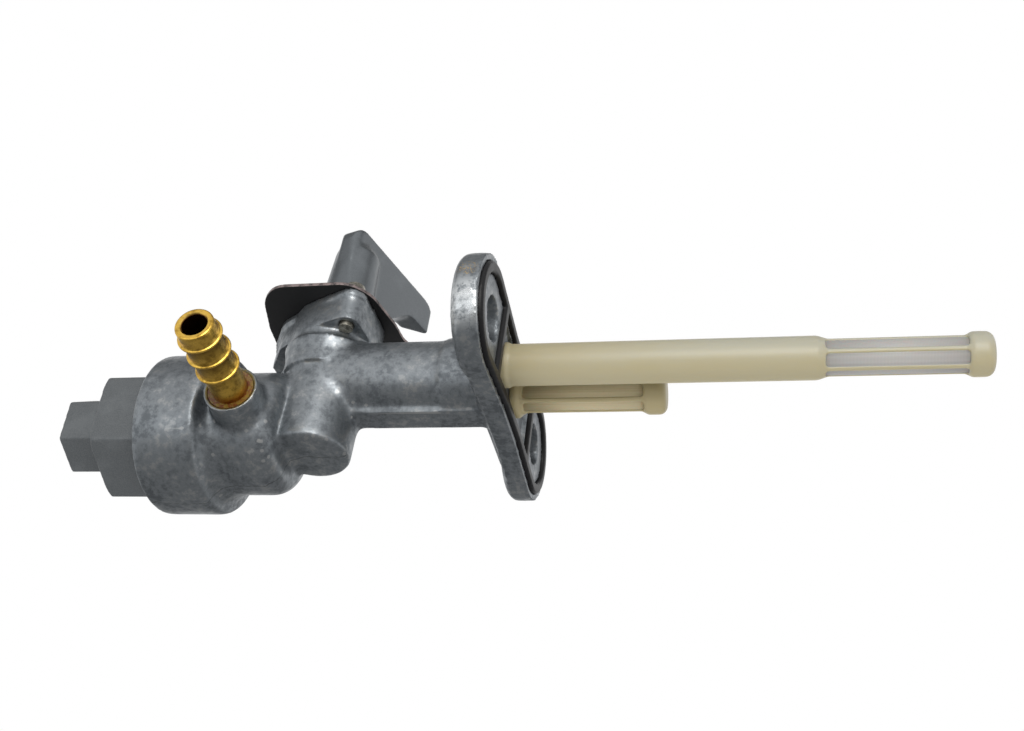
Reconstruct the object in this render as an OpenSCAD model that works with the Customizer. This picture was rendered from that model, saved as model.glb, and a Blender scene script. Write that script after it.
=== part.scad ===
// Fuel tap for a tank: a cast body that hangs from an oval flange, two pickup tubes with
// strainers that stand up into the tank, a lever valve with main, off and reserve, a filter
// chamber closed by a screwed bowl with a two-stage hexagon head, and a barbed outlet spigot.
// The origin is the middle between the two bolt holes, on the flange's sealing face. +Z points
// up into the tank, +X along the line of the bolts to the outlet's side, and the lever is on -Y.

/* [Flange] */
// Distance between the two bolt holes
bolt_pitch = 45; // [42:0.5:48]
// Diameter of each bolt hole
bolt_hole_d = 9; // [6:0.5:9.5]
// Thickness of the flange
flange_t = 5.4; // [4:0.2:7]
// Distance of each end lobe's centre from the middle
lobe_x = 23.2; // [22:0.2:25]
// Radius of each end lobe
lobe_r = 12.2; // [12:0.1:13.5]
// Half width of the flange at its middle
waist_w = 10.6; // [10.2:0.1:12]
// Chamfer round the lower edge of the flange
flange_chamfer = 1.2; // [0.5:0.1:1.5]

/* [Gasket] */
// Distance from the rim of the flange to the middle of the rubber band
gasket_inset = 2.7; // [2.4:0.1:3]
// Width of the rubber band
gasket_w = 2.4; // [1.8:0.1:2.6]
// Depth of the groove that holds the band
gasket_groove = 1.4; // [1:0.1:2]
// Height of the band above the flange face
gasket_proud = 0.8; // [0.4:0.1:1]
// Distance of each cross bar from the middle
gasket_bar_x = 15.4; // [14.8:0.1:16]

// Depth of the recess round the two tubes, between the cross bars
recess = 1; // [0.4:0.1:1.2]

/* [Neck] */
// Distance of the neck's axis from the middle of the flange, towards the outlet's side
neck_x = 1.8; // [0:0.1:2]
// Radius of the neck under the flange
neck_r = 8.7; // [8.6:0.1:10]
// Radius of the collar at the top of the neck
collar_r = 9.3; // [9.2:0.1:10.2]
// Height of that collar below the flange
collar_h = 8.6; // [6:0.2:10]
// Width of the flat rib down the back of the neck
rib_w = 6.2; // [4:0.2:7]
// Reach of the rib from the middle of the neck
rib_y = 9.6; // [9.2:0.1:10.4]
// Diameter of the two fuel passages in the neck
passage_d = 3.4; // [2.6:0.2:3.8]

/* [Valve] */
// Depth of the valve axis below the flange face
valve_z = 41.1; // [40:0.1:42]
// Radius of the cross housing behind the valve
housing_r = 8.6; // [8.4:0.1:9]
// Reach of the closed end of the cross housing
housing_y = 18.3; // [17:0.1:20]
// Outer radius of the valve chamber
chamber_r = 9.6; // [9.4:0.1:10.4]
// Radius of the collar at the root of the valve chamber
root_r = 10.4; // [10:0.1:11]
// Distance of that collar's face from the middle of the neck
chamber_root = 6.2; // [5.5:0.1:6.8]
// Distance of the cover face from the middle of the neck
cover_y = 16; // [15.5:0.1:17]
// Radius of the valve bore
bore_r = 8.2; // [8:0.1:8.4]
// Depth of the valve bore below the cover face
bore_depth = 7.4; // [7:0.1:8]
// Diameter of the outlet port in the middle of the valve bore
outlet_port_d = 4; // [3:0.2:4.4]
// Thickness of the plate under the cover
plate_t = 1.5; // [1:0.1:2.5]
// Depth of the lugs below the cover
lug_t = 7.5; // [6.5:0.1:8.5]
// Distance of each cover screw from the valve axis
screw_reach = 11.2; // [11:0.1:12]
// Radius of each lug
lug_r = 3.4; // [3.2:0.1:4]
// Slope of the line of the two cover screws
lug_angle = 31.5; // [25:0.5:36]

/* [Cover] */
// Thickness of the sheet steel cover
cover_t = 0.9; // [0.6:0.1:1.2]
// Reach of the cover's short straight edge from the valve axis
cover_edge = 14; // [13.4:0.1:15]
// Half width of the cover at that edge
cover_half = 13.6; // [12.5:0.1:14]
// Reach of the cover's far edge from the valve axis
cover_reach = 18; // [16:0.5:19]
// Extra half width of the cover where it opens out
cover_flare = 4.6; // [3.4:0.2:5.4]
// Distance of the cover's middle line below the valve axis
cover_shift = 2.4; // [2:0.1:3]

/* [Lever] */
// Radius of the lever's hub at the cover
hub_r = 5.7; // [5:0.1:6]
// Length from the valve axis to the tip of the lever
lever_len = 27.8; // [24:0.5:32]
// Thickness of the lever's wing
wing_t = 5.4; // [4.6:0.2:6]
// Height of the wing's top above the middle of the neck
wing_top = 41.2; // [38:0.2:44]
// Height of the wing at its tip
wing_tip_h = 8.6; // [6:0.2:9]
// Slope of the lever at rest
lever_angle = 17; // [0:1:25]

/* [Filter chamber] */
// Offset of the filter chamber's axis from the neck
filter_y = 12.4; // [12:0.1:13]
// Outer radius of the filter chamber
filter_r = 12.85; // [12.5:0.05:13.4]
// Depth of the top of the filter chamber
filter_top = 45.6; // [45:0.1:46.5]
// Outer radius of the skirt round the bowl thread
skirt_r = 16.9; // [16.6:0.1:18]
// Thickness of the skirt's shoulder above the bowl's seat
shoulder_t = 2.4; // [2:0.1:3]
// Depth of the mouth of the skirt
skirt_bottom = 73.6; // [73:0.1:75]
// Inner radius of the filter chamber
filter_bore_r = 10; // [9.6:0.1:10.4]
// Depth of the ceiling inside the filter chamber
filter_ceiling = 48.8; // [48.4:0.1:48.9]
// Inner radius of the skirt, at the crests of its thread
thread_r = 13.6; // [13.2:0.1:14.2]
// Length of the skirt's thread, from its mouth up to the bowl's seat
thread_l = 11.2; // [10.6:0.1:11.8]

/* [Bowl] */
// Width across the flats of the large hexagon
big_af = 25; // [22:0.2:25.4]
// Width across the flats of the small hexagon
small_af = 15; // [12:0.2:18]
// Depth of the end of the large hexagon
big_end = 84.5; // [83:0.1:87]
// Depth of the end of the small hexagon
small_end = 95.1; // [92:0.1:98]
// Inner radius of the bowl
bowl_bore_r = 7.6; // [7.4:0.1:8]
// Depth of the bowl's floor
bowl_floor = 80; // [78:0.5:81]

/* [Outlet] */
// Distance of the spigot's axis from the filter chamber's axis
outlet_shift = 0.9; // [0:0.1:2]
// Depth of the middle of the boss's mouth
outlet_z = 52.4; // [52:0.1:53.5]
// Slope of the boss and the spigot
outlet_tilt = 3.5; // [0:0.5:5]
// Outer radius of the boss round the spigot
boss_r = 5.5; // [5.3:0.1:5.9]
// Reach of the boss along the spigot's axis
boss_x = 18; // [17.5:0.1:19]
// Reach of the spigot's mouth along its axis
spigot_x = 38.4; // [37:0.2:42]
// Bore of the spigot
spigot_bore_d = 4.9; // [4:0.1:5]
// Radius of the spigot's plain stem
spigot_r = 3.5; // [3.4:0.05:3.7]
// Radius of the spigot's barbs
barb_r = 4.35; // [4:0.05:4.4]

/* [Pickup tubes] */
// Distance of each tube's axis from the middle
tube_x = 5.5; // [5.2:0.1:5.8]
// Outer radius of the tubes
tube_r = 4.3; // [4:0.05:4.4]
// Bore of the tubes
tube_bore_d = 5; // [4:0.2:5.4]
// Radius of each tube's shank in the flange
shank_r = 3.2; // [3:0.05:3.3]
// Length of each shank
shank_l = 9; // [7:0.5:11]
// Height of the main tube
main_h = 92.3; // [80:0.5:120]
// Height of the reserve tube
reserve_h = 31.2; // [30:0.2:40]
// Length of the main tube's strainer
main_screen_l = 25.6; // [20:0.2:30]
// Length of the reserve tube's strainer
reserve_screen_l = 25; // [20:0.2:25.5]
// Length of the closed cap above each strainer
tube_cap_l = 4.6; // [4:0.2:6]
// Radius of the strainers' cages
cage_r = 3.65; // [3.4:0.05:3.8]
// Angle that each window of a cage takes
window_angle = 42; // [34:1:48]

/* [Hidden] */
$fn = 96;
eps = 0.02;

spigot_y = filter_y + outlet_shift;
gasket_lobe_r = lobe_r - gasket_inset;
gasket_waist = waist_w - gasket_inset;
bore_floor_y = -cover_y + bore_depth;
packing_t = 2.6;
rotor_y = cover_y - bore_depth + packing_t;
rotor_t = 3.8;
channel_depth = 1;
o_ring_d = 1.6;
o_ring_r = bore_r - o_ring_d / 2 - 0.02;
washer_t = 0.4;
hub_play = 0.05;
washer_in = hub_r + 0.3;
washer_out = bore_r - 0.6;
hub_top = 25;
hub_taper = 0.7;
hub_edge = 2;
hub_foot = cover_y + cover_t + 0.4;
screw_r = 1.5;
screw_proud = 0.9;
lug_inset = 0.6;
plate_r = chamber_r + 0.2;
wing_back = 6;
wing_shift = 0.6;
screw_head_r = 2.8;
screw_head_h = 1.9;
foot_r = 4.7;
foot_h = 1.2;
gauze_t = 0.25;
rim_t = 0.4;
cast_edge = 0.8;
mouth_edge = 0.6;
shoulder_r = 1;
fillet_r = 3.6;
crown_r = 4;
root_t = 3;
plate_drop = 18.9;
plate_side = 11;
drill_extra = 0.4;
cap_round = 1.6;
main_turn = 46;
reserve_turn = 21;
hex_turned = 0.9;
seat_play = 0.02;
cage_wall = 0.9;
thread_play = 0.05;
bowl_seat = skirt_bottom - thread_l;
bowl_top = bowl_seat + 0.5;
skirt_top = bowl_seat - shoulder_t;
seal_d = 1.9;
seal_r = 11.9;
bowl_angle = 36.4;
filter_frame_r = 6.6;
sealant_r = 4.6;
sealant_t = 1.2;
spigot_shank_r = 3.3;
spigot_foot = 10.5;
mouth_l = 1.6;
barb_pitch = 4.3;

// Plan of a two-lobed plate: round ends, and straight sides that draw in to a narrower waist
module two_lobes(r, waist) {
    waist_x = 6;
    reach = sqrt(pow(lobe_x - waist_x, 2) + pow(waist, 2));
    phi = atan2(waist, waist_x - lobe_x) - acos(r / reach);
    touch = [lobe_x + r * cos(phi), r * sin(phi)];
    for (side = [-1, 1]) translate([side * lobe_x, 0]) circle(r);
    polygon([touch, [waist_x, waist], [-waist_x, waist], [-touch[0], touch[1]],
        [-touch[0], -touch[1]], [-waist_x, -waist], [waist_x, -waist], [touch[0], -touch[1]]]);
}

// Carries children from upright on the origin to the valve axis: their +Z becomes -Y
module on_valve_axis(y = 0) {
    translate([neck_x, y, -valve_z]) rotate([90, 0, 0]) children();
}

// Carries children from the origin down to a depth on the filter chamber's axis
module on_filter_axis(depth = 0) {
    translate([neck_x, filter_y, -depth]) children();
}

// The gasket's band and its two cross bars in plan
module gasket_plan(w) {
    difference() {
        two_lobes(gasket_lobe_r + w / 2, gasket_waist + w / 2);
        two_lobes(gasket_lobe_r - w / 2, gasket_waist - w / 2);
    }
    intersection() {
        two_lobes(gasket_lobe_r, gasket_waist);
        for (side = [-1, 1]) translate([side * gasket_bar_x - w / 2, -lobe_r]) square([w, 2 * lobe_r]);
    }
}

module flange() {
    translate([0, 0, -flange_t + flange_chamfer])
        linear_extrude(flange_t - flange_chamfer) two_lobes(lobe_r, waist_w);
    for (side = [-1, 1]) translate([side * lobe_x, 0, -flange_t])
        cylinder(r1 = lobe_r - flange_chamfer, r2 = lobe_r, h = flange_chamfer);
    translate([-lobe_x, -waist_w + flange_chamfer, -flange_t])
        cube([2 * lobe_x, 2 * (waist_w - flange_chamfer), flange_chamfer + eps]);
}

module neck() translate([neck_x, 0, 0]) {
    translate([0, 0, -valve_z]) cylinder(r = neck_r, h = valve_z - flange_t / 2);
    step = collar_r - neck_r;
    translate([0, 0, -flange_t - collar_h]) cylinder(r1 = neck_r, r2 = collar_r, h = step);
    translate([0, 0, -flange_t - collar_h + step]) cylinder(r = collar_r, h = collar_h);
    translate([-rib_w / 2, 0, -valve_z]) cube([rib_w, rib_y, valve_z - flange_t / 2]);
}

module filter_shell() {
    on_filter_axis() rotate_extrude() polygon(concat(
        [[0, -skirt_bottom], [skirt_r - mouth_edge, -skirt_bottom], [skirt_r, -skirt_bottom + mouth_edge],
            [skirt_r, -skirt_top - shoulder_r]],
        [for (a = [15:15:75]) [skirt_r - shoulder_r * (1 - cos(a)), -skirt_top - shoulder_r * (1 - sin(a))]],
        [for (a = [0:10:90]) [filter_r + fillet_r * (1 - sin(a)), -skirt_top + fillet_r * (1 - cos(a))]],
        [for (a = [0:10:90]) [filter_r - crown_r * (1 - cos(a)), -filter_top - crown_r * (1 - sin(a))]],
        [[0, -filter_top]]));
}

// Plan of the lug plate: a round middle and two lugs on one line, joined by straight sides
module lug_plan(r) {
    reach = acos((plate_r - r) / screw_reach);
    polygon([for (side = [0, 180]) each concat(
        [for (k = [-6:6]) let (a = side + k * reach / 6)
            screw_reach * [cos(side), 0] + r * [cos(a), sin(a)]],
        [for (k = [0:8]) let (a = side + reach + k * (180 - 2 * reach) / 8) plate_r * [cos(a), sin(a)]])]);
}

// A point list with round corners: each entry gives a corner and the radius of its arc
function rounded(corners, steps = 8) = [for (i = [0:len(corners) - 1])
    let (n = len(corners), b = corners[i], a = corners[(i + n - 1) % n], c = corners[(i + 1) % n],
        p = [b[0], b[1]], u = unit([a[0], a[1]] - p), v = unit([c[0], c[1]] - p), half = acos(u * v) / 2,
        centre = p + unit(u + v) * b[2] / sin(half), from = p + u * b[2] / tan(half) - centre,
        turn = cross(u, v) > 0 ? -1 : 1)
    for (k = [0:steps]) let (t = turn * k * (180 - 2 * half) / steps)
        centre + [from[0] * cos(t) - from[1] * sin(t), from[0] * sin(t) + from[1] * cos(t)]];

function unit(v) = v / norm(v);

// Lower lobe of the lug plate, set in by the given distance
module plate_lobe(inset) {
    bend = [chamber_r - 7 - inset, inset - chamber_r * 4 / 3, 8];
    foot = [lug_r - plate_side, inset - plate_drop, 3];
    side = [inset - plate_side, -chamber_r, 4];
    polygon(rounded([[chamber_r - 2 - inset, -chamber_r / 2, 1], bend, foot, side, [-4, 0, 1]]));
}

module at_lugs() {
    rotate(lug_angle) for (side = [-1, 1]) translate([side * screw_reach, 0]) children();
}

module valve_shell() {
    on_valve_axis(housing_y) {
        cylinder(r1 = housing_r - cast_edge, r2 = housing_r, h = cast_edge);
        translate([0, 0, cast_edge]) cylinder(r = housing_r, h = housing_y);
    }
    on_valve_axis(root_t - chamber_root) cylinder(r1 = root_r - cast_edge, r2 = root_r, h = root_t);
    on_valve_axis(0) cylinder(r = chamber_r, h = cover_y - plate_t);
    on_valve_axis(-cover_y + lug_t) linear_extrude(lug_t) {
        rotate(lug_angle) lug_plan(lug_r - lug_inset);
        plate_lobe(lug_inset);
    }
    on_valve_axis(-cover_y + plate_t) linear_extrude(plate_t) {
        rotate(lug_angle) lug_plan(lug_r);
        plate_lobe(0);
    }
}

// Carries children from upright on the origin to the spigot's axis: their +Z becomes +X
module on_outlet_axis() {
    translate([neck_x + boss_x, spigot_y, -outlet_z]) rotate([0, 90 - outlet_tilt, 0])
        translate([0, 0, -boss_x]) children();
}

// Fuel runs down both sockets to the floor of the valve bore, and from the port in its middle
// through the cross housing and down into the filter chamber.
module fuel_passages() {
    for (side = [-1, 1]) {
        translate([neck_x + side * tube_x, 0, 0]) {
            translate([0, 0, -shank_l]) cylinder(r = shank_r, h = shank_l + 1);
            translate([0, 0, -valve_z - 0.5]) cylinder(d = passage_d, h = valve_z);
        }
        on_valve_axis(passage_d / 2 + 0.3) translate([side * tube_x, 0, 0])
            cylinder(d = passage_d + drill_extra, h = cover_y);
    }
    on_valve_axis(filter_y + outlet_port_d / 2 + 0.3)
        cylinder(d = outlet_port_d + drill_extra, h = cover_y + filter_y);
    on_filter_axis(filter_ceiling + 1) cylinder(d = outlet_port_d, h = filter_ceiling - valve_z + 1.5);
}

module body() color([0.42, 0.44, 0.46]) difference() {
    union() {
        flange();
        neck();
        valve_shell();
        filter_shell();
        on_outlet_axis() cylinder(r = boss_r, h = boss_x);
    }
    for (side = [-1, 1]) translate([side * bolt_pitch / 2, 0, -flange_t - 1])
        cylinder(d = bolt_hole_d, h = flange_t + 2);
    translate([0, 0, -gasket_groove]) linear_extrude(gasket_groove + 1) gasket_plan(gasket_w);
    fuel_passages();
    translate([0, 0, -recess]) linear_extrude(recess + 1) intersection() {
        two_lobes(gasket_lobe_r - gasket_w / 2 - rim_t, gasket_waist - gasket_w / 2 - rim_t);
        square([2 * (gasket_bar_x - gasket_w / 2 - rim_t), 4 * waist_w], center = true);
    }
    on_valve_axis(bore_floor_y) cylinder(r = bore_r, h = bore_depth + 1);
    on_valve_axis(-chamber_root - 0.3) at_lugs() cylinder(r = screw_r, h = cover_y);
    on_filter_axis(bowl_seat) cylinder(r = filter_bore_r, h = bowl_seat - filter_ceiling);
    on_filter_axis(skirt_bottom + 1) cylinder(r = thread_r, h = skirt_bottom + 1 - bowl_seat);
    on_outlet_axis() {
        translate([0, 0, spigot_foot - 4]) cylinder(r = spigot_shank_r, h = boss_x);
        translate([0, 0, boss_x - sealant_t]) cylinder(r = sealant_r, h = sealant_t + 1);
    }
}

module flange_gasket() color([0.1, 0.1, 0.11]) {
    lip = 0.35;
    translate([0, 0, -gasket_groove])
        linear_extrude(gasket_groove + gasket_proud - lip) gasket_plan(gasket_w - 2 * seat_play);
    translate([0, 0, gasket_proud - lip]) linear_extrude(lip) gasket_plan(gasket_w - 2 * lip);
}

// One pickup tube: shank, foot collar, stem, and a cage with six windows under a closed cap
module pickup_tube(height, screen_l, turn) {
    screen_top = height - tube_cap_l;
    screen_foot = screen_top - screen_l;
    difference() {
        rotate_extrude() polygon(concat(
            [[0, -shank_l + 0.5], [shank_r, -shank_l + 0.5], [shank_r, -recess], [foot_r, -recess],
                [foot_r, foot_h - recess], [tube_r, foot_h - recess + 0.6], [tube_r, screen_foot - 1.5],
                [cage_r, screen_foot + 0.5], [cage_r, screen_top - 0.5], [tube_r, screen_top + 0.8]],
            [for (a = [0:15:90]) [tube_r - cap_round * (1 - cos(a)), height - cap_round * (1 - sin(a))]],
            [[0, height]]));
        translate([0, 0, -shank_l]) cylinder(d = tube_bore_d, h = screen_foot + shank_l);
        translate([0, 0, screen_foot - 0.8]) cylinder(r = cage_r - cage_wall, h = screen_l + 1.6);
        for (a = [0:60:300]) rotate([0, 0, a + turn - window_angle / 2]) translate([0, 0, screen_foot])
            rotate_extrude(angle = window_angle) translate([cage_r - cage_wall - 0.6, 0])
                square([2, screen_l]);
    }
}

// Gauze sleeve that lines the cage from inside
module gauze(height, screen_l) {
    translate([0, 0, height - tube_cap_l - screen_l - 0.8]) difference() {
        cylinder(r = cage_r - cage_wall, h = screen_l + 1.6);
        translate([0, 0, -1]) cylinder(r = cage_r - cage_wall - gauze_t, h = screen_l + 4);
    }
}

module main_pickup_tube() color([0.72, 0.7, 0.58])
    translate([neck_x + tube_x, 0, 0]) pickup_tube(main_h, main_screen_l, main_turn);

module main_strainer_gauze() color([0.66, 0.64, 0.64])
    translate([neck_x + tube_x, 0, 0]) gauze(main_h, main_screen_l);

module reserve_pickup_tube() color([0.72, 0.7, 0.58])
    translate([neck_x - tube_x, 0, 0]) pickup_tube(reserve_h, reserve_screen_l, reserve_turn);

module reserve_strainer_gauze() color([0.66, 0.64, 0.64])
    translate([neck_x - tube_x, 0, 0]) gauze(reserve_h, reserve_screen_l);

// Turned spigot: shank, plain stem, three rounded barbs and a short collar at the mouth
module outlet_spigot() color([0.6, 0.5, 0.2]) on_outlet_axis()
    difference() {
        rotate_extrude() polygon(concat(
            [[0, spigot_foot], [spigot_shank_r, spigot_foot], [spigot_shank_r, boss_x - sealant_t],
                [spigot_r, boss_x - sealant_t]],
            [for (i = [3:-1:1]) let (tip = spigot_x - mouth_l - i * barb_pitch) each concat(
                [[spigot_r, tip], [barb_r - 0.35, tip + 0.1]],
                [for (a = [-60:30:60]) [barb_r - 0.5 + 0.5 * cos(a), tip + 0.6 + 0.5 * sin(a)]],
                [[spigot_r, tip + barb_pitch - 0.2]])],
            [[spigot_r, spigot_x - mouth_l], [spigot_r + 0.25, spigot_x - mouth_l + 0.3],
                [spigot_r + 0.25, spigot_x - 0.3], [spigot_r - 0.05, spigot_x], [0, spigot_x]]));
        translate([0, 0, spigot_foot - 1]) cylinder(d = spigot_bore_d, h = spigot_x);
    }

module spigot_sealant() color([0.35, 0.16, 0.07]) on_outlet_axis() translate([0, 0, boss_x - sealant_t])
    difference() {
        cylinder(r = sealant_r, h = sealant_t - 0.3);
        translate([0, 0, -1]) cylinder(r = spigot_r, h = sealant_t + 2);
    }

module valve_packing() color([0.12, 0.12, 0.12]) on_valve_axis(bore_floor_y) difference() {
    cylinder(r = bore_r - 0.1, h = packing_t);
    for (x = [-tube_x, 0, tube_x]) translate([x, 0, -1]) cylinder(d = passage_d, h = packing_t + 2);
}

// Rotor, hub and wing in one casting. A channel in the rotor's face joins the port in the middle
// to the port a quarter turn past the wing: the main one when the wing hangs down.
module valve_lever() color([0.36, 0.38, 0.39]) {
    on_valve_axis(-rotor_y) rotate(180 - lever_angle) {
        difference() {
            cylinder(r = bore_r - 0.2, h = rotor_t);
            translate([0, 0, (rotor_t - o_ring_d) / 2]) difference() {
                cylinder(r = bore_r, h = o_ring_d);
                translate([0, 0, -1]) cylinder(r = o_ring_r - o_ring_d / 2, h = o_ring_d + 2);
            }
            rotate(90) translate([0, -passage_d / 2, -1]) cube([tube_x, passage_d, 1 + channel_depth]);
            for (r = [0, tube_x]) rotate(90) translate([r, 0, -1])
                cylinder(d = passage_d, h = 1 + channel_depth);
        }
        translate([0, 0, rotor_t - eps]) cylinder(r = hub_r, h = hub_foot - rotor_y - rotor_t + 0.1);
        translate([0, 0, hub_foot - rotor_y])
            cylinder(r1 = hub_r, r2 = hub_r - hub_taper, h = hub_top - hub_foot - hub_edge + 0.4);
        translate([0, 0, hub_top - rotor_y - hub_edge])
            cylinder(r1 = hub_r - hub_taper, r2 = hub_r - hub_edge, h = hub_edge);
        translate([0, 0, -rotor_y]) intersection() {
            rotate([90, 0, 0]) translate([0, 0, -2 * wing_t]) linear_extrude(4 * wing_t) wing_side();
            linear_extrude(wing_top + 1) wing_plan();
        }
    }
}

// The wing seen from the side: length from the valve axis, height from the middle of the neck
module wing_side() {
    under = wing_top - wing_tip_h;
    polygon(rounded([[-wing_back + 1.4, hub_top - 2 * hub_edge, 0.5], [-wing_back, wing_top, 3.4],
        [lever_len, wing_top, 4.4], [lever_len, under, 1], [lever_len - 9, under, 6],
        [hub_r, hub_top - 5, 0.5]]));
}

// The wing seen from outside: parallel sides, a round back and a slanted tip
module wing_plan() {
    near = -wing_t / 2 - wing_shift;
    far = wing_t / 2 - wing_shift;
    polygon(rounded([[-wing_back, near, 2.4], [lever_len, near, 0.6], [lever_len - wing_t, far, 0.8],
        [-wing_back, far, 2.4]]));
}

module lever_o_ring() color([0.1, 0.1, 0.1]) on_valve_axis(-rotor_y) translate([0, 0, rotor_t / 2])
    rotate_extrude() translate([o_ring_r, 0]) circle(d = o_ring_d - 0.04);

// Spring washer that presses the rotor on its packing: three waves round a flat ring
module wave_washer() color([0.7, 0.7, 0.68]) on_valve_axis(-rotor_y - rotor_t) {
    rise = cover_y - rotor_y - rotor_t - washer_t;
    steps = 48;
    ring = function (r, h) [for (i = [0:steps - 1]) let (a = i * 360 / steps)
        [r * cos(a), r * sin(a), h + rise * (0.5 - 0.48 * cos(3 * a))]];
    rings = [ring(washer_in, 0), ring(washer_out, 0), ring(washer_out, washer_t), ring(washer_in, washer_t)];
    polyhedron([for (r = rings) each r], [for (k = [0:3], i = [0:steps - 1])
        let (j = (i + 1) % steps, here = k * steps, next = (k + 1) % 4 * steps)
            each [[here + i, here + j, next + j], [here + i, next + j, next + i]]]);
}

// Plan of the cover: a short straight edge, sides that open out, and a wide round far end
module cover_plan() {
    near = [cover_edge, cover_half, 7.2];
    bend = [-cover_reach / 3, cover_half + cover_flare - 2.9, 6];
    wide = [5.5 - cover_reach, cover_half + cover_flare, 5];
    end = [-cover_reach, cover_half - 2.6, 6];
    right = [near, bend, wide, end];
    translate([0, -cover_shift]) polygon(rounded(concat(right,
        [for (i = [3:-1:0]) [right[i][0], -right[i][1], right[i][2]]])));
}

module cover_plate() color([0.3, 0.28, 0.27]) on_valve_axis(-cover_y) difference() {
    linear_extrude(cover_t) cover_plan();
    translate([0, 0, -1]) cylinder(r = hub_r + hub_play, h = cover_t + 2);
    at_lugs() translate([0, 0, -1]) cylinder(r = screw_r + 0.15, h = cover_t + 2);
}

// Pan head screws, driven from the cover side, with their tips standing out of the lugs
module cover_screws() color([0.6, 0.58, 0.5]) on_valve_axis(-cover_y) at_lugs() difference() {
    union() {
        translate([0, 0, -lug_t - screw_proud])
            cylinder(r = screw_r, h = lug_t + screw_proud + cover_t + eps);
        translate([0, 0, cover_t]) cylinder(r1 = screw_head_r, r2 = screw_head_r - 0.7, h = screw_head_h);
    }
    for (a = [0, 90]) translate([0, 0, cover_t + screw_head_h]) rotate(a) cube([3, 0.7, 2.2], center = true);
}

// A hexagon bar that stands on its lower end, with the corners of that end turned off
module hexagon_bar(af, h) {
    intersection() {
        cylinder(d = af / cos(30), h = h, $fn = 6);
        cylinder(r1 = af / 2 + hex_turned, r2 = af / 2 + hex_turned + h * 1.7, h = h);
    }
}

// Cup with an outside thread, closed below by the two hexagons
module filter_bowl() color([0.33, 0.34, 0.35]) on_filter_axis() difference() {
    union() {
        translate([0, 0, -skirt_bottom - 1])
            cylinder(r = thread_r - thread_play, h = skirt_bottom + 1 - bowl_top);
        translate([0, 0, -big_end]) rotate(bowl_angle)
            hexagon_bar(big_af, big_end - skirt_bottom - thread_play);
        translate([0, 0, -small_end]) rotate(bowl_angle) hexagon_bar(small_af, small_end - big_end + 1);
    }
    translate([0, 0, -bowl_floor]) cylinder(r = bowl_bore_r, h = bowl_floor);
    translate([0, 0, -bowl_top - seal_d + 0.4]) difference() {
        cylinder(r = seal_r + seal_d / 2, h = seal_d);
        translate([0, 0, -1]) cylinder(r = seal_r - seal_d / 2, h = seal_d + 2);
    }
}

module bowl_o_ring() color([0.1, 0.1, 0.1]) on_filter_axis(bowl_seat + seal_d / 2)
    rotate_extrude() translate([seal_r, 0]) circle(d = seal_d - 0.04);

// Open frame of the bowl's filter: a floor, four ribs and a top ring
module bowl_filter_frame() color([0.75, 0.72, 0.6]) on_filter_axis() {
    h = bowl_floor - filter_ceiling - 0.3;
    translate([0, 0, -bowl_floor]) {
        cylinder(r = filter_frame_r, h = 1.5);
        difference() {
            cylinder(r = filter_frame_r, h = h);
            translate([0, 0, 1]) cylinder(r = filter_frame_r - 1, h = h);
            for (a = [0:90:270]) rotate(a + 10) translate([0, 0, 1.5]) rotate_extrude(angle = 70)
                square([filter_frame_r + 1, h - 3.5]);
        }
    }
}

module bowl_filter_gauze() color([0.6, 0.6, 0.58]) on_filter_axis(bowl_floor - 1.5) difference() {
    h = bowl_floor - filter_ceiling - 0.3 - 1.5;
    cylinder(r = filter_frame_r - 1 - seat_play, h = h - 0.5);
    translate([0, 0, -1]) cylinder(r = filter_frame_r - 1 - seat_play - gauze_t, h = h + 2);
}

body();
flange_gasket();
main_pickup_tube();
main_strainer_gauze();
reserve_pickup_tube();
reserve_strainer_gauze();
outlet_spigot();
spigot_sealant();
valve_packing();
valve_lever();
lever_o_ring();
wave_washer();
cover_plate();
cover_screws();
filter_bowl();
bowl_o_ring();
bowl_filter_frame();
bowl_filter_gauze();
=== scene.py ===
import math

import bpy
import numpy as np
from mathutils import Matrix, Vector


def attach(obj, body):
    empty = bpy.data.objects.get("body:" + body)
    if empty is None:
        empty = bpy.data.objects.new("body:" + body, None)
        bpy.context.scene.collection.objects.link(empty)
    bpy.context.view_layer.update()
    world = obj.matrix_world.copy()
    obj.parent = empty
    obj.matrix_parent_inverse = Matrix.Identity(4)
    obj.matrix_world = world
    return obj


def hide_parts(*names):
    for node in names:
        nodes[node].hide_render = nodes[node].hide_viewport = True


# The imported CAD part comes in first, as the fixed frame that every piece below rides on. All
# lengths are in metres, and mm turns the drawing's millimetres into them.
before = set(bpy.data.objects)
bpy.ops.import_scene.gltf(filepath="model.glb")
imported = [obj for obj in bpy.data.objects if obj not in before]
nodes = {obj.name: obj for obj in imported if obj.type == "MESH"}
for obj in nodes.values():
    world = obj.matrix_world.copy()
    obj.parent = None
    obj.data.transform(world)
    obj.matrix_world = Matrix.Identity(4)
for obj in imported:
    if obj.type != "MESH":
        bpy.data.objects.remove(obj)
scene = bpy.context.scene
mm = 0.001
bpy.ops.object.select_all(action="DESELECT")
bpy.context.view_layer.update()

# ---------------------------------------------------------------------------------------------
# Cast body: an aluminium pressure die casting with a lobed flange, a round neck with a rib, a
# cross housing, a valve chamber with two lugs and a filter chamber with a wide skirt. The skin
# is as cast: dull, mottled and blue-grey, with every inner corner run out in a fillet.


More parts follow.
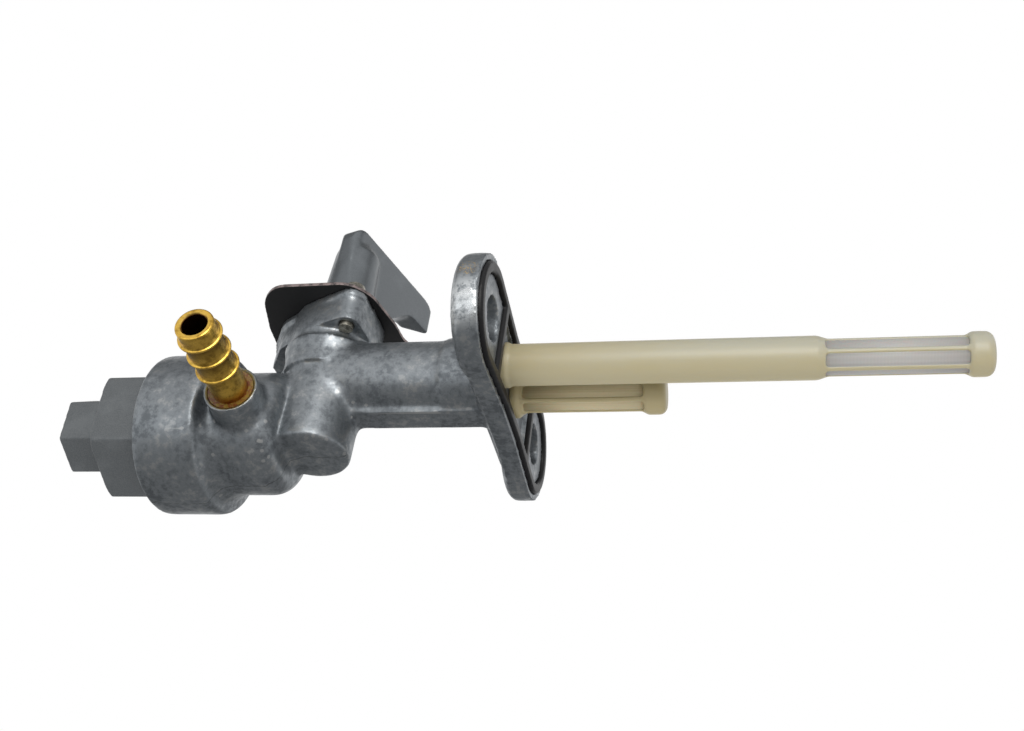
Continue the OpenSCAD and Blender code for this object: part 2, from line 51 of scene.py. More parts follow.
def dense_copy(name, node, voxel, *added):
    """A merged copy of a CAD node, joined with added forms and remade in small even faces"""
    mesh = nodes[node].data.copy()
    mesh.name = name
    piece = bpy.data.objects.new(name, mesh)
    scene.collection.objects.link(piece)
    bpy.ops.object.select_all(action="DESELECT")
    for form in added:
        form.select_set(True)
    piece.select_set(True)
    bpy.context.view_layer.objects.active = piece
    if added:
        bpy.ops.object.join()
    if mesh.has_custom_normals:
        bpy.ops.mesh.customdata_custom_splitnormals_clear()
    bpy.ops.object.mode_set(mode="EDIT")
    bpy.ops.mesh.select_all(action="SELECT")
    bpy.ops.mesh.remove_doubles(threshold=0.002 * mm)
    bpy.ops.object.mode_set(mode="OBJECT")
    remesh = piece.modifiers.new("even faces", "REMESH")
    remesh.mode = "VOXEL"
    remesh.voxel_size = voxel * mm
    bpy.ops.object.modifier_apply(modifier=remesh.name)
    return piece


def points(piece):
    """The vertices of a piece as rows of x, y and z"""
    co = np.empty(len(piece.data.vertices) * 3, np.float32)
    piece.data.vertices.foreach_get("co", co)
    return co.reshape(-1, 3).astype(np.float64)


def set_points(piece, co):
    piece.data.vertices.foreach_set("co", co.astype(np.float32).ravel())
    piece.data.update()


def smoothed(piece, weight, repeats, fill_only, edge=None):
    """Draws each vertex to the middle of its neighbours; fill_only lets it move outwards only,
    which runs inner corners out in a fillet and leaves outer edges as they are, and a vertex
    whose first step is longer than edge counts as part of an edge and stays"""
    co = points(piece)
    edges = np.empty(len(piece.data.edges) * 2, np.int32)
    piece.data.edges.foreach_get("vertices", edges)
    edges = edges.reshape(-1, 2)
    quads = np.empty(len(piece.data.polygons) * 4, np.int32)
    piece.data.polygons.foreach_get("vertices", quads)
    quads = quads.reshape(-1, 4)
    count = len(co)
    step_share = 0.6
    ends = np.concatenate([edges[:, 0], edges[:, 1]])
    others = np.concatenate([edges[:, 1], edges[:, 0]])
    degree = np.maximum(np.bincount(ends, minlength=count), 1)
    for _ in range(repeats):
        step = np.stack([np.bincount(ends, co[others, k], count) for k in range(3)], 1)
        step = step / degree[:, None] - co
        if edge:
            weight = weight * np.clip(2 - np.linalg.norm(step, axis=1) / edge, 0, 1)
            edge = None
        if fill_only:
            face = np.cross(co[quads[:, 2]] - co[quads[:, 0]],
                            co[quads[:, 3]] - co[quads[:, 1]])
            normal = np.stack([np.bincount(quads.ravel(), np.repeat(face[:, k], 4), count)
                               for k in range(3)], 1)
            normal /= np.maximum(np.linalg.norm(normal, axis=1), 1e-12)[:, None]
            out = np.einsum("ij,ij->i", step, normal)
            step = normal * np.maximum(out, 0)[:, None]
        co += step * step_share * weight[:, None]
    set_points(piece, co)


def thin_out(piece):
    """Joins faces where the piece has more triangles than it may"""
    most = 190000
    count = 2 * len(piece.data.polygons)
    if count > most:
        fewer = piece.modifiers.new("fewer faces", "DECIMATE")
        fewer.ratio = most / count
        bpy.context.view_layer.objects.active = piece
        bpy.ops.object.modifier_apply(modifier=fewer.name)


def near(value, low, high, soft):
    """1 between low and high, falling to 0 over the soft distance outside them"""
    return np.clip((value - low) / soft + 1, 0, 1) * np.clip((high - value) / soft + 1, 0, 1)


def set_smooth(piece):
    piece.data.polygons.foreach_set("use_smooth", [True] * len(piece.data.polygons))
    piece.data.update()


def finished(piece, material, slot, body, *replaced):
    """Gives a piece its material, and a body to ride in the place of CAD nodes; slot is not used"""
    piece.data.materials.clear()
    piece.data.materials.append(material)
    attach(piece, body)
    if replaced:
        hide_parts(*replaced)


def dress(node, material):
    """Gives a CAD node a material and leaves its mesh as it is"""
    nodes[node].data.materials.clear()
    nodes[node].data.materials.append(material)


def group_of(name, inputs, outputs):
    """An empty shader node group with number inputs and outputs"""
    group = bpy.data.node_groups.new(name, "ShaderNodeTree")
    for label, value in inputs:
        socket = group.interface.new_socket(label, in_out="INPUT", socket_type="NodeSocketFloat")
        socket.default_value = value
    for label in outputs:
        group.interface.new_socket(label, in_out="OUTPUT", socket_type="NodeSocketFloat")
    return group, group.nodes.new("NodeGroupInput"), group.nodes.new("NodeGroupOutput")


def add(tree, kind, **values):
    """A node of a kind in a tree; the values set its sockets or are linked to them"""
    node = tree.nodes.new("ShaderNode" + kind)
    for key, value in values.items():
        socket = node.inputs[key.replace("_", " ")]
        if isinstance(value, bpy.types.NodeSocket):
            tree.links.new(value, socket)
        else:
            socket.default_value = value
    return node


def math_node(tree, operation, a, b=None, clamp=False):
    node = tree.nodes.new("ShaderNodeMath")
    node.operation = operation
    node.use_clamp = clamp
    for socket, value in zip(node.inputs, (a, b)):
        if isinstance(value, bpy.types.NodeSocket):
            tree.links.new(value, socket)
        elif value is not None:
            socket.default_value = value
    return node.outputs[0]


def times(tree, a, b):
    return math_node(tree, "MULTIPLY", a, b)


def vector_node(tree, operation, a, b=None):
    node = tree.nodes.new("ShaderNodeVectorMath")
    node.operation = operation
    tree.links.new(a, node.inputs[0])
    if b is not None:
        node.inputs[1].default_value = b
    return node.outputs


def ramp(tree, value, low, high):
    """0 below low and 1 above high, with a smooth rise between them"""
    node = add(tree, "MapRange", Value=value, From_Min=low, From_Max=high)
    node.interpolation_type = "SMOOTHSTEP"
    return node.outputs[0]


def mixed(tree, factor, a, b):
    """Two colours mixed by a factor; each is a socket or three linear numbers"""
    factor_socket, a_socket, b_socket = 0, 6, 7
    node = tree.nodes.new("ShaderNodeMix")
    node.data_type = "RGBA"
    for index, value in ((factor_socket, factor), (a_socket, a), (b_socket, b)):
        socket = node.inputs[index]
        if isinstance(value, bpy.types.NodeSocket):
            tree.links.new(value, socket)
        elif isinstance(value, (int, float)):
            socket.default_value = value
        else:
            socket.default_value = (*value, 1)
    return node.outputs[2]


# Skin of a casting: broad clouds, small blotches and fine grain, all from Object coordinates
cast_skin, skin_in, skin_out = group_of(
    "cast skin", [("Size", 1.0)], ["Clouds", "Blotches", "Grain"])
at = add(cast_skin, "TexCoord").outputs["Object"]
for label, scale, detail, rough in (("Clouds", 130, 3, 0.6), ("Blotches", 620, 4, 0.7),
                                    ("Grain", 3600, 3, 0.7)):
    size = times(cast_skin, skin_in.outputs["Size"], float(scale))
    noise = add(cast_skin, "TexNoise", Vector=at, Scale=size, Detail=detail, Roughness=rough)
    cast_skin.links.new(noise.outputs["Fac"], skin_out.inputs[label])


def new_material(name, **values):
    """A material with its tree and shader; the values set the shader's sockets"""
    material = bpy.data.materials.new(name)
    material.use_nodes = True
    tree = material.node_tree
    shader = tree.nodes["Principled BSDF"]
    for key, value in values.items():
        shader.inputs[key.replace("_", " ")].default_value = value
    return material, tree, shader


def placed(tree, group, **values):
    """The outputs of a node group that is set into a tree"""
    node = tree.nodes.new("ShaderNodeGroup")
    node.node_tree = group
    for key, value in values.items():
        node.inputs[key].default_value = value
    return node.outputs


# Place of a point from the outlet's axis, in millimetres: how far off it, and how far past the
# mouth of its boss
outlet_slope = math.radians(3.5)
outlet_mouth = Vector((19.8, 13.3, -52.4)) * mm
outlet_way = Vector((math.cos(outlet_slope), 0, math.sin(outlet_slope)))
outlet_place, _, place_out = group_of("outlet place", [], ["Radial", "Along"])
at = add(outlet_place, "TexCoord").outputs["Object"]
from_mouth = vector_node(outlet_place, "SUBTRACT", at, outlet_mouth)["Vector"]
off_axis = vector_node(outlet_place, "CROSS_PRODUCT", from_mouth, outlet_way)["Vector"]
radial = vector_node(outlet_place, "LENGTH", off_axis)["Value"]
along = vector_node(outlet_place, "DOT_PRODUCT", from_mouth, outlet_way)["Value"]
for label, value in (("Radial", radial), ("Along", along)):
    outlet_place.links.new(times(outlet_place, value, 1 / mm), place_out.inputs[label])

# The metal itself, with paler edges that are partly wear and partly painted highlight, with specks,
# and with painted shade in its inner corners
cast_metal, tree, shader = new_material("cast metal", Metallic=0.85, Specular_IOR_Level=0.4)
skin = placed(tree, cast_skin)
dark_metal, plain_metal, pale_metal = (0.115, 0.127, 0.138), (0.2, 0.217, 0.231), (0.4, 0.4, 0.39)
worn_edge_highlight, hollow_shade_grey, pale_speck = (0.45, 0.45, 0.44), (0.05, 0.055, 0.062), (0.46, 0.45, 0.42)
clouds = ramp(tree, skin["Clouds"], 0.3, 0.7)
blotches = ramp(tree, skin["Blotches"], 0.34, 0.68)
tone = math_node(tree, "ADD", times(tree, clouds, 0.45), times(tree, blotches, 0.55))
colour = mixed(tree, ramp(tree, tone, 0.05, 0.6), dark_metal, plain_metal)
colour = mixed(tree, times(tree, ramp(tree, tone, 0.6, 1.0), 0.5), colour, pale_metal)
pointed = add(tree, "NewGeometry").outputs["Pointiness"]
# Convex edges are painted paler: partly bare wear, partly a painted highlight
edge = times(tree, ramp(tree, pointed, 0.54, 0.62), 0.5)
# Painted shade: inner corners and hollows are darkened
hollow = times(tree, ramp(tree, pointed, 0.49, 0.42), 0.55)
speckle = times(tree, ramp(tree, skin["Grain"], 0.74, 0.82), 0.25)
for mask, tint in ((edge, worn_edge_highlight), (hollow, hollow_shade_grey), (speckle, pale_speck)):
    colour = mixed(tree, mask, colour, tint)
at = add(tree, "TexCoord").outputs["Object"]


def patch(middle, reach, soft):
    """1 round a point of the casting, given in mm, and 0 beyond its reach"""
    far = vector_node(tree, "DISTANCE", at, Vector(middle) * mm)["Value"]
    return ramp(tree, far, reach * mm, (reach - soft) * mm)


# A rubbed, smoother spot painted pale as a highlight and a few yellow specks on the flange's near
# lobe, a stain in the boss's mouth, and the parting line of the mould over the far end of the cross
# housing
painted_highlight_grey, yellow, brown, shadow = ((0.62, 0.64, 0.65), (0.55, 0.36, 0.1), (0.15, 0.115, 0.03),
                                 (0.045, 0.048, 0.05))
# Painted highlight: the rubbed spot is painted pale, and is also made a little smoother
rubbed_highlight = times(tree, patch((34.3, 5.2, -2.7), 6.5, 4.5), ramp(tree, skin["Blotches"], 0.3, 0.55))
specks = times(tree, patch((35.2, -2.2, -2.6), 2.6, 1.4), ramp(tree, skin["Grain"], 0.56, 0.62))
outlet = placed(tree, outlet_place)
stain = times(tree, ramp(tree, outlet["Radial"], 5.3, 4.9),
              ramp(tree, outlet["Along"], -1.6, -0.9))
stain = times(tree, stain, ramp(tree, skin["Blotches"], 0.25, 0.55))
parting_x, wavy, line_wide, line_soft = 2 * mm, 4 * mm, 0.16 * mm, 0.04 * mm
split = add(tree, "SeparateXYZ", Vector=at).outputs
wander = times(tree, math_node(tree, "SUBTRACT", skin["Clouds"], 0.5), wavy)
off_plane = math_node(tree, "ADD", math_node(tree, "SUBTRACT", split["X"], parting_x), wander)
off_plane = math_node(tree, "ABSOLUTE", off_plane)
parting = times(tree, ramp(tree, off_plane, line_wide, line_soft),
                ramp(tree, split["Y"], 17.5 * mm, 18 * mm))
for mask, tint in ((times(tree, rubbed_highlight, 0.7), painted_highlight_grey), (specks, yellow), (stain, brown),
                   (times(tree, parting, 0.6), shadow)):
    colour = mixed(tree, mask, colour, tint)
tree.links.new(colour, shader.inputs["Base Color"])
rough = add(tree, "MapRange", Value=tone, To_Min=0.52, To_Max=0.3).outputs[0]
rough = math_node(tree, "SUBTRACT", rough, times(tree, rubbed_highlight, 0.12))
tree.links.new(rough, shader.inputs["Roughness"])
height = math_node(tree, "ADD", skin["Blotches"], times(tree, skin["Grain"], 0.3))
bump = add(tree, "Bump", Strength=0.6, Distance=0.1 * mm, Height=height)
tree.links.new(bump.outputs[0], shader.inputs["Normal"])

# The mesh is evened, then its inner corners are filled on the outside only: what lies inside
# the bores stays as it is, and each joint of the casting has its share of the full fillet
tap_x, filter_y, valve_z, tube_offset = 1.8, 12.4, -41.1, 5.5
bowl_r, chamber_r, valve_r, passage_r = 14.2, 10.6, 8.6, 3.4
body = dense_copy("cast_body", "body", 0.34)
where = points(body) / mm
x, y, z = where[:, 0] - tap_x, where[:, 1], where[:, 2]
inside = (np.hypot(x, y - filter_y) < bowl_r) & (z < -60)
inside |= (np.hypot(x, y - filter_y) < chamber_r) & (z < -48)
inside |= (np.hypot(x, z - valve_z) < valve_r) & (y < -8)
inside |= (np.hypot(np.abs(x) - tube_offset, y) < passage_r) & (z > -38)
neck_joint = near(z, -37, -30.5, 1.5) * near(y, -5, 11, 1.5)
filter_joint = near(z, -52, -44, 2.0) * near(y, 0, 60, 2.0)
rib_joint = near(z, -31, -9, 2.0) * near(y, 4, 60, 1.0)
flange_joint = near(z, -8, -5.6, 0.5)
boss_joint = near(x, 8.5, 16, 1.5) * near(z, -62, -44, 1.0)
fillet = np.full(len(x), 0.015)
for share, there in ((1.0, neck_joint), (0.35, filter_joint), (0.04, rib_joint),
                     (0.1, flange_joint), (0.2, boss_joint)):
    fillet = np.maximum(fillet, share * there)
fillet *= near(z, -200, -5.3, 0.8) * ~inside
fill_repeats = 70
smoothed(body, np.ones(len(x)), 12, False, 0.03 * mm)
smoothed(body, near(z, -200, -1, 0.5) * ~inside * 0.2 + 0.2, 2, False)
smoothed(body, fillet, fill_repeats, True)
smoothed(body, np.minimum(fillet * 4, 1), 4, False)
thin_out(body)
set_smooth(body)
finished(body, cast_metal, "cast_metal", "tap", "body")

# ---------------------------------------------------------------------------------------------
# Gasket: a moulded black rubber cord with a round top that lies in a groove round the flange,
# with two straight bars across it between the bolts and the tubes.
rubber, tree, shader = new_material("gasket rubber", Base_Color=(0.009, 0.009, 0.01, 1),
                                    Roughness=0.4, Specular_IOR_Level=0.2)
skin = placed(tree, cast_skin, Size=1.5)
bump = add(tree, "Bump", Strength=0.2, Distance=0.05 * mm, Height=skin["Blotches"])
tree.links.new(bump.outputs[0], shader.inputs["Normal"])
rough = add(tree, "MapRange", Value=skin["Clouds"], To_Min=0.32, To_Max=0.5)
tree.links.new(rough.outputs[0], shader.inputs["Roughness"])
gasket = dense_copy("rubber_band", "flange_gasket", 0.2)
smoothed(gasket, np.ones(len(gasket.data.vertices)), 5, False)
set_smooth(gasket)
finished(gasket, rubber, "gasket_rubber", "tap", "flange_gasket")

# ---------------------------------------------------------------------------------------------
# Pickup tubes: moulded in natural nylon that has yellowed a little, each with a cage of four
# windows under a closed cap; the side facing +Y gets painted shade, darker and yellower. The mould
# leaves a faint orange peel along the stems.
nylon, tree, shader = new_material("natural nylon", Roughness=0.4, Subsurface_Weight=0.35,
                                   Subsurface_Scale=0.0015, Specular_IOR_Level=0.45)
skin = placed(tree, cast_skin, Size=0.7)
at = add(tree, "TexCoord").outputs["Object"]
part = add(tree, "SeparateXYZ", Vector=at)
low = ramp(tree, part.outputs["Z"], 50 * mm, -2 * mm)
facing = add(tree, "SeparateXYZ", Vector=add(tree, "NewGeometry").outputs["Normal"]).outputs["Y"]
# Painted shade: surfaces facing +Y, which face down in the camera's view, take the darker yellow
# colour
painted_shade_side = times(tree, ramp(tree, facing, -0.2, 0.9), 0.6)
yellow = math_node(tree, "MAXIMUM", painted_shade_side, times(tree, low, 0.65))
yellow = math_node(tree, "ADD", yellow, times(tree, skin["Clouds"], 0.25), clamp=True)
new_nylon, aged_and_shaded_nylon = (0.425, 0.42, 0.345), (0.43, 0.365, 0.20)
reserve_nylon = (0.385, 0.325, 0.18)
on_reserve = ramp(tree, part.outputs["X"], 2.6 * mm, 1.2 * mm)
colour = mixed(tree, yellow, new_nylon, aged_and_shaded_nylon)
colour = mixed(tree, on_reserve, colour, reserve_nylon)
tree.links.new(colour, shader.inputs["Base Color"])
shader.inputs["Subsurface Radius"].default_value = (1.0, 0.8, 0.45)
bump = add(tree, "Bump", Strength=0.35, Distance=0.08 * mm, Height=skin["Blotches"])
tree.links.new(bump.outputs[0], shader.inputs["Normal"])
for name, node in (("main_tube", "main_pickup_tube"), ("reserve_tube", "reserve_pickup_tube")):
    tube = dense_copy(name, node, 0.25)
    smoothed(tube, np.ones(len(tube.data.vertices)), 3, False)
    set_smooth(tube)
    finished(tube, nylon, "nylon", "tap", node)

# ---------------------------------------------------------------------------------------------
# Strainer gauze: a fine nylon mesh inside each cage, a little glossy. It is paler than its cage
# in the main tube, and fuel has stained it in the reserve tube.
gauze, tree, shader = new_material("fine gauze", Roughness=0.45, Subsurface_Weight=0.2,
                                   Subsurface_Scale=0.001, Specular_IOR_Level=0.5)
at = add(tree, "TexCoord").outputs["Object"]
part = add(tree, "SeparateXYZ", Vector=at)
hoop_rate, strand_rate = 25000.0, 22000.0
hoops = math_node(tree, "SINE", times(tree, part.outputs["Z"], hoop_rate))
across = math_node(tree, "ADD", part.outputs["X"], part.outputs["Y"])
strands = math_node(tree, "SINE", times(tree, across, strand_rate))
weave = math_node(tree, "ADD", hoops, strands)
weave = add(tree, "MapRange", Value=weave, From_Min=-2.0, From_Max=2.0).outputs[0]
pale = mixed(tree, weave, (0.36, 0.35, 0.335), (0.45, 0.435, 0.42))
stained = mixed(tree, weave, (0.46, 0.385, 0.225), (0.55, 0.47, 0.30))
colour = mixed(tree, ramp(tree, part.outputs["Z"], 30 * mm, 60 * mm), stained, pale)
tree.links.new(colour, shader.inputs["Base Color"])
bump = add(tree, "Bump", Strength=0.3, Distance=0.04 * mm, Height=weave)
tree.links.new(bump.outputs[0], shader.inputs["Normal"])
sleeve_r, sleeve_wall = 3.42, 0.25
for name, node, middle, low, high in (
        ("main_gauze", "main_strainer_gauze", tap_x + tube_offset, 61.6, 88.2),
        ("reserve_gauze", "reserve_strainer_gauze", tap_x - tube_offset, 1.1, 27.1)):
    bpy.ops.mesh.primitive_cylinder_add(vertices=72, radius=sleeve_r * mm,
                                        depth=(high - low) * mm, end_fill_type="NOTHING")
    sleeve = bpy.context.object
    sleeve.name = name
    sleeve.data.transform(Matrix.Translation(Vector((middle, 0, (low + high) / 2)) * mm))
    wall = sleeve.modifiers.new("thickness", "SOLIDIFY")
    wall.thickness = sleeve_wall * mm
    wall.offset = -1
    bpy.ops.object.modifier_apply(modifier=wall.name)
    set_smooth(sleeve)
    finished(sleeve, gauze, "gauze", "tap", node)
dress("bowl_filter_gauze", gauze)

# ---------------------------------------------------------------------------------------------
# Outlet spigot: turned brass, pressed into its boss and sealed there, with three rounded barbs and
# a short plain mouth. Handling has left it a little dull and spotted; its hollows and bore carry
# painted shade and the crests of its barbs a painted highlight.
brass, tree, shader = new_material("turned brass", Metallic=1.0)
skin = placed(tree, cast_skin, Size=1.0)
clean_brass, dull_brass, lit_brass = (0.68, 0.43, 0.08), (0.30, 0.175, 0.028), (0.80, 0.60, 0.2)
painted_barb_shade, rust, painted_bore_shade = (0.11, 0.06, 0.012), (0.30, 0.10, 0.015), (0.13, 0.05, 0.015)
colour = mixed(tree, ramp(tree, skin["Blotches"], 0.4, 0.72), clean_brass, dull_brass)
pointed = add(tree, "NewGeometry").outputs["Pointiness"]
outlet = placed(tree, outlet_place)
rooted = times(tree, ramp(tree, outlet["Along"], 2.6, -0.6), ramp(tree, skin["Blotches"], 0.2, 0.6))
# Painted shade in the hollows behind the barbs
for mask, tint in ((ramp(tree, pointed, 0.49, 0.42), painted_barb_shade),
                   # Painted highlight on the crests of the barbs
                   (times(tree, ramp(tree, pointed, 0.53, 0.6), 0.6), lit_brass),
                   # Painted shade inside the bore; the rust colour at the root is real
                   (rooted, rust), (ramp(tree, outlet["Radial"], 2.62, 2.5), painted_bore_shade)):
    colour = mixed(tree, mask, colour, tint)
tree.links.new(colour, shader.inputs["Base Color"])
rough = add(tree, "MapRange", Value=skin["Blotches"], To_Min=0.2, To_Max=0.42)
tree.links.new(rough.outputs[0], shader.inputs["Roughness"])
# A ring is drawn out along the profile, up over the lips and back down the bore. The profile is
# in radius and height, and its heights start plane_depth inside the mouth of the boss.
foot_r, foot, boss_end, plane_depth = 3.3, 10.5, 16.8, 18
stem_r, waist_r, lip_r, lip_round = 3.6, 3.75, 4.12, 0.25
hollow_deep, hollow_long = 0.37, 0.9
bore_r, end, end_round = 2.45, 38.4, 0.45
profile = [(foot_r, boss_end), (stem_r, boss_end + 0.02)]
for lip, before in ((25.6, stem_r), (30.45, waist_r), (35.3, waist_r)):
    profile += [(before, lip - 0.5), (lip_r, lip - 0.49)]
    profile += [(lip_r + lip_round * math.cos(math.radians(a)),
                 lip - lip_round + lip_round * math.sin(math.radians(a)))
                for a in (-70, -35, 0, 35, 70)]
    profile += [(waist_r + hollow_deep * (1 - math.sin(math.radians(a))),
                 lip + hollow_long * (1 - math.cos(math.radians(a))))
                for a in (12, 30, 50, 70, 90)]
profile += [(waist_r - end_round * (1 - math.cos(math.radians(a))),
             end - end_round * (1 - math.sin(math.radians(a))))
            for a in (0, 25, 50, 75, 90)]
profile += [(bore_r + 0.25, end - 0.02), (bore_r, end - 0.3), (bore_r, foot), (foot_r, foot)]
bpy.ops.mesh.primitive_circle_add(vertices=128, radius=foot_r * mm, fill_type="NOTHING",
                                  location=(0, 0, foot * mm))
spigot = bpy.context.object
spigot.name = "brass_spigot"
spigot.data.transform(Matrix.Translation(spigot.location))
spigot.location = (0, 0, 0)
bpy.ops.object.mode_set(mode="EDIT")
bpy.ops.mesh.select_all(action="SELECT")
reach, height = foot_r, foot
for new_reach, new_height in profile:
    bpy.ops.mesh.extrude_region_move(
        TRANSFORM_OT_translate={"value": (0, 0, (new_height - height) * mm)})
    share = new_reach / reach
    bpy.ops.transform.resize(value=(share, share, 1), center_override=(0, 0, 0))
    reach, height = new_reach, new_height
bpy.ops.mesh.select_all(action="SELECT")
bpy.ops.mesh.remove_doubles(threshold=0.003 * mm)
bpy.ops.mesh.normals_make_consistent(inside=False)
bpy.ops.object.mode_set(mode="OBJECT")
slope = Matrix.Rotation(math.radians(90) - outlet_slope, 4, "Y")
sunk = Matrix.Translation((0, 0, -plane_depth * mm))
spigot.data.transform(Matrix.Translation(outlet_mouth) @ slope @ sunk)
bpy.ops.object.shade_smooth_by_angle(angle=math.radians(40))
finished(spigot, brass, "brass", "tap", "outlet_spigot")

sealant, tree, shader = new_material("thread sealant", Roughness=0.3)
skin = placed(tree, cast_skin, Size=2.0)
colour = mixed(tree, ramp(tree, skin["Blotches"], 0.4, 0.6),
               (0.12, 0.028, 0.006), (0.2, 0.13, 0.02))
tree.links.new(colour, shader.inputs["Base Color"])
bump = add(tree, "Bump", Strength=0.8, Distance=0.2 * mm, Height=skin["Blotches"])
tree.links.new(bump.outputs[0], shader.inputs["Normal"])
dress("spigot_sealant", sealant)

# ---------------------------------------------------------------------------------------------
# Lever: a separate, finer casting that has been tumbled smooth, with a round hub that runs into
# a thick wing. Hub, wing and rotor are one piece.


def tumbled_metal(name, dark, light, metallic, roughness):
    """A fine grained metal between two colours, with faint lighter clouds"""
    material, tree, shader = new_material(name, Metallic=metallic, Specular_IOR_Level=0.35,
                                          Roughness=roughness)
    skin = placed(tree, cast_skin, Size=1.4)
    colour = mixed(tree, ramp(tree, skin["Grain"], 0.35, 0.65), dark, light)
    clouds = times(tree, ramp(tree, skin["Clouds"], 0.45, 0.7), 0.3)
    colour = mixed(tree, clouds, colour, tuple(level * 1.35 for level in light))
    tree.links.new(colour, shader.inputs["Base Color"])
    bump = add(tree, "Bump", Strength=0.12, Distance=0.05 * mm, Height=skin["Grain"])
    tree.links.new(bump.outputs[0], shader.inputs["Normal"])
    return material


lever_metal = tumbled_metal("tumbled metal", (0.118, 0.13, 0.139), (0.15, 0.162, 0.172),
                            0.8, 0.33)
# The hub is a long cone and a blunt one on its end, each as two radii and the heights it spans
hub = []
for wide, narrow, low, high in ((6.0, 5.1, 17.3, 35.8), (5.1, 3.4, 35.7, 37.6)):
    bpy.ops.mesh.primitive_cone_add(vertices=96, radius1=wide * mm, radius2=narrow * mm,
                                    depth=(high - low) * mm)
    form = bpy.context.object
    middle = Vector((tap_x, -(low + high) / 2, valve_z)) * mm
    form.data.transform(Matrix.Translation(middle) @ Matrix.Rotation(math.radians(90), 4, "X"))
    hub.append(form)
lever = dense_copy("lever", "valve_lever", 0.28, *hub)
height = points(lever)[:, 1] / mm
in_front = near(height, -60, -18, 1.0)
smoothed(lever, near(height, -60, -17, 1.0), 8, False)
smoothed(lever, in_front, 14, True)
smoothed(lever, in_front, 4, False)
set_smooth(lever)
finished(lever, lever_metal, "lever_metal", "lever", "valve_lever")

# ---------------------------------------------------------------------------------------------
# Cover and its screws: sheet steel, blanked and coated black, held by two plated pan head
# screws. The blanked edge is bare and catches the light.
coated, tree, shader = new_material("coated steel", Metallic=0.3, Roughness=0.5)
skin = placed(tree, cast_skin, Size=1.0)
turned = add(tree, "SeparateXYZ", Vector=add(tree, "NewGeometry").outputs["Normal"])
side = ramp(tree, math_node(tree, "ABSOLUTE", turned.outputs["Y"]), 0.75, 0.4)
worn = times(tree, side, ramp(tree, skin["Blotches"], 0.3, 0.6))
colour = mixed(tree, worn, (0.014, 0.014, 0.015), (0.24, 0.19, 0.185))
tree.links.new(colour, shader.inputs["Base Color"])
cover = dense_copy("cover", "cover_plate", 0.15)
# The cover narrows by an eighth over the 12 mm on the outlet's side
cover_z, narrowing, narrow_over = -43.5, 0.125, 12
where = points(cover) / mm
narrow = narrowing * np.clip((where[:, 0] - tap_x) / narrow_over, 0, 1)
where[:, 2] -= narrow * (where[:, 2] - cover_z)
set_points(cover, where * mm)
smoothed(cover, np.ones(len(cover.data.vertices)), 2, False)
set_smooth(cover)
finished(cover, coated, "cover_steel", "tap", "cover_plate")

plated, tree, shader = new_material("plated steel", Metallic=0.9, Roughness=0.35)
skin = placed(tree, cast_skin, Size=2.0)
colour = mixed(tree, ramp(tree, skin["Blotches"], 0.35, 0.65),
               (0.16, 0.15, 0.125), (0.42, 0.40, 0.34))
tree.links.new(colour, shader.inputs["Base Color"])
dress("cover_screws", plated)

# ---------------------------------------------------------------------------------------------
# Filter bowl: cast and machined in one piece with its thread and two hexagons, with a fine matt
# finish that is darker and duller than the lever's.
bowl_metal = tumbled_metal("matt metal", (0.088, 0.096, 0.102), (0.125, 0.134, 0.14), 0.3, 0.5)
bowl = dense_copy("bowl", "filter_bowl", 0.24)
smoothed(bowl, np.ones(len(bowl.data.vertices)), 3, False)
thin_out(bowl)
set_smooth(bowl)
finished(bowl, bowl_metal, "bowl_metal", "bowl", "filter_bowl")

# ---------------------------------------------------------------------------------------------
# Inner pieces: the seals, the packing under the rotor and its spring washer, and the frame of
# the bowl's filter. They show only when the tap is taken apart.
spring, _, _ = new_material("spring steel", Metallic=1.0, Roughness=0.3,
                            Base_Color=(0.45, 0.45, 0.44, 1))
for node, material in (("valve_packing", rubber), ("lever_o_ring", rubber), ("bowl_o_ring", rubber),
                       ("wave_washer", spring), ("bowl_filter_frame", nylon)):
    dress(node, material)

# ---------------------------------------------------------------------------------------------
# Camera, lamps and surroundings: the tap lies across the picture, seen from the outlet's side,
# with a broad lamp above the lens, a weak one beside it and white paper all round. Three cards
# out of the picture stand for the dark room that the metal mirrors.
camera_data = bpy.data.cameras.new("camera")
camera_data.lens = 40.05
camera_data.sensor_width = 36
camera_data.clip_start = 0.01
camera = bpy.data.objects.new("camera", camera_data)
right, up, back = (Vector((-0.18990, -0.11196, 0.97540)), Vector((0.59274, -0.80506, 0.02299)),
                   Vector((0.78268, 0.58253, 0.21924)))
facing = Matrix((right, up, back)).transposed().to_4x4()
camera.matrix_world = Matrix.Translation(Vector((188.0585, 134.6277, 51.4355)) * mm) @ facing
scene.collection.objects.link(camera)
scene.camera = camera

aim = Vector((1.8, 3.0, -10.0)) * mm


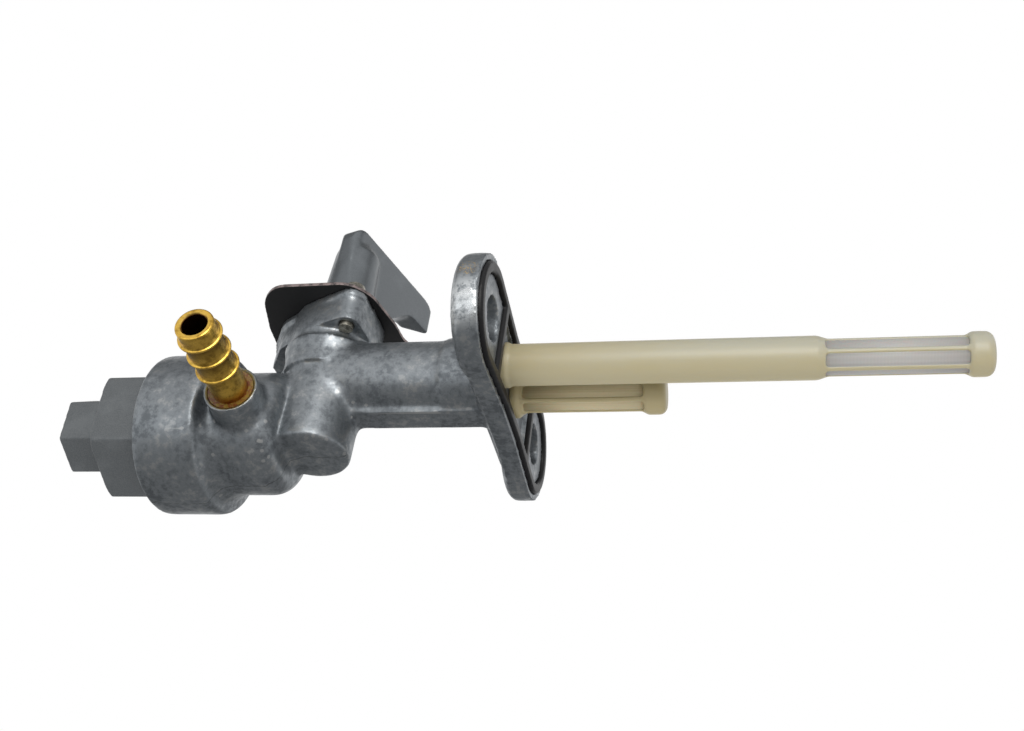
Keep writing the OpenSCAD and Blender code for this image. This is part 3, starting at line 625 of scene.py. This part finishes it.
def softbox(name, direction, distance, width, power, colour):
    """A square lamp that lights the tap from a direction"""
    data = bpy.data.lights.new(name, "AREA")
    data.size = width
    data.energy = power
    data.color = colour
    lamp = bpy.data.objects.new(name, data)
    lamp.location = aim + direction.normalized() * distance
    lamp.rotation_mode = "QUATERNION"
    lamp.rotation_quaternion = direction.to_track_quat("Z", "Y")
    scene.collection.objects.link(lamp)
    lamp.visible_camera = False


softbox("key", back * 0.76 + up * 0.62 + right * 0.05, 0.55, 0.3, 2.0, (1.0, 0.98, 0.95))
softbox("fill", back * 0.7 - right * 0.6 + up * 0.1, 0.7, 0.5, 0.5, (0.9, 0.95, 1.0))


def grey_card(name, middle, width, height, turn, level, soft_level):
    """A card out of the picture with one level for mirrored rays and one for all others"""
    bpy.ops.mesh.primitive_plane_add(size=1)
    card = bpy.context.object
    card.name = name
    size = Matrix.Diagonal((width, height, 1, 1))
    card.data.transform(Matrix.Translation(middle) @ turn @ size)
    paper, tree, shader = new_material(name)
    mirrored = add(tree, "LightPath").outputs["Is Glossy Ray"]
    shine = add(tree, "MapRange", Value=mirrored, To_Min=soft_level, To_Max=level).outputs[0]
    glow = add(tree, "Emission", Strength=shine)
    tree.links.new(glow.outputs[0], tree.nodes["Material Output"].inputs["Surface"])
    card.data.materials.append(paper)
    card.visible_camera = False


lying = Matrix((right, back, up)).transposed().to_4x4()
grey_card("dark room before it", aim + back * 0.4 - up * 0.38, 1.2, 0.84, facing, 0.28, 0.7)
grey_card("dark room below it", aim - up * 0.25, 1.2, 0.7, lying, 0.26, 1.15)
grey_card("dim ceiling", aim + up * 0.4 - back * 0.42, 1.2, 0.64, lying, 0.32, 0.42)

world = bpy.data.worlds.new("paper")
scene.world = world
world.use_nodes = True
tree = world.node_tree
ray = add(tree, "LightPath").outputs
seen = math_node(tree, "MAXIMUM", ray["Is Camera Ray"],
                 math_node(tree, "MAXIMUM", ray["Is Glossy Ray"], ray["Is Transmission Ray"]))
level = add(tree, "MapRange", Value=seen, To_Min=0.42, To_Max=1.0).outputs[0]
background = tree.nodes["Background"]
background.inputs["Color"].default_value = (1, 1, 1, 1)
tree.links.new(level, background.inputs["Strength"])
scene.view_settings.view_transform = "Standard"
